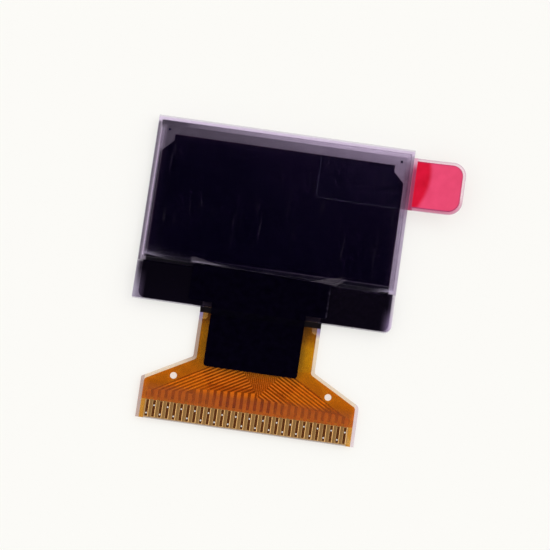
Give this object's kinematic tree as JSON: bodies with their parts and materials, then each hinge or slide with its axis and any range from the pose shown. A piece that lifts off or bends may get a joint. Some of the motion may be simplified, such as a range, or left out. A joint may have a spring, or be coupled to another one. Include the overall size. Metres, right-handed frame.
{
  "type": "bare oled display panel",
  "caption": "Small bare graphic OLED panel: glass display with black shield tapes, a pull tab on its clear film, and a flexible tail with a row of solder pads.",
  "frame": {"origin": "centre of the front glass outline, on the flat back face of the rear glass", "axes": "+X along the glass's long side, to the pull tab; +Y to the display's top edge, away from the tail; +Z out of the display"},
  "size_m": [0.0321, 0.0313, 0.0022],
  "materials": {
    "clear_glass": "polished float glass",
    "desiccant": "matt filled sheet",
    "seal": "cured resin",
    "display_dark": "mirror dark layer",
    "marks": "metal film",
    "polarizer": "smooth dark film",
    "protective_film": "smooth clear film with fine scratches",
    "clear_strip": "smooth clear film",
    "red_film": "glossy red film",
    "leads": "thin metal film",
    "silicon": "ground silicon",
    "bond_film": "cured film",
    "base_film": "smooth polyimide film",
    "coverlay": "satin polyimide film",
    "copper": "etched copper under film",
    "gold_pads": "bright thin gold plating",
    "glue": "cured dark resin",
    "shield_tape": "smooth black tape"
  },
  "bodies": {
    "root": {"cap_glass": "clear_glass", "desiccant_sheet": "desiccant", "perimeter_seal": "seal", "display_layers": "display_dark", "substrate_glass": "clear_glass", "alignment_marks": "marks", "polarizer": "polarizer", "protective_film": "protective_film", "pull_strip": "clear_strip", "pull_tab": "red_film", "ledge_leads": "leads", "driver_die": "silicon", "die_bond_film": "bond_film", "tail_bond_film": "bond_film", "tail_base_film": "base_film", "tail_traces": "copper", "rear_ground_copper": "copper", "contact_pads": "gold_pads", "front_coverlay": "coverlay", "rear_coverlay": "coverlay", "glue_bead": "glue", "front_shield_tape": "shield_tape", "rear_shield_tape": "shield_tape"}
  },
  "joints": []
}
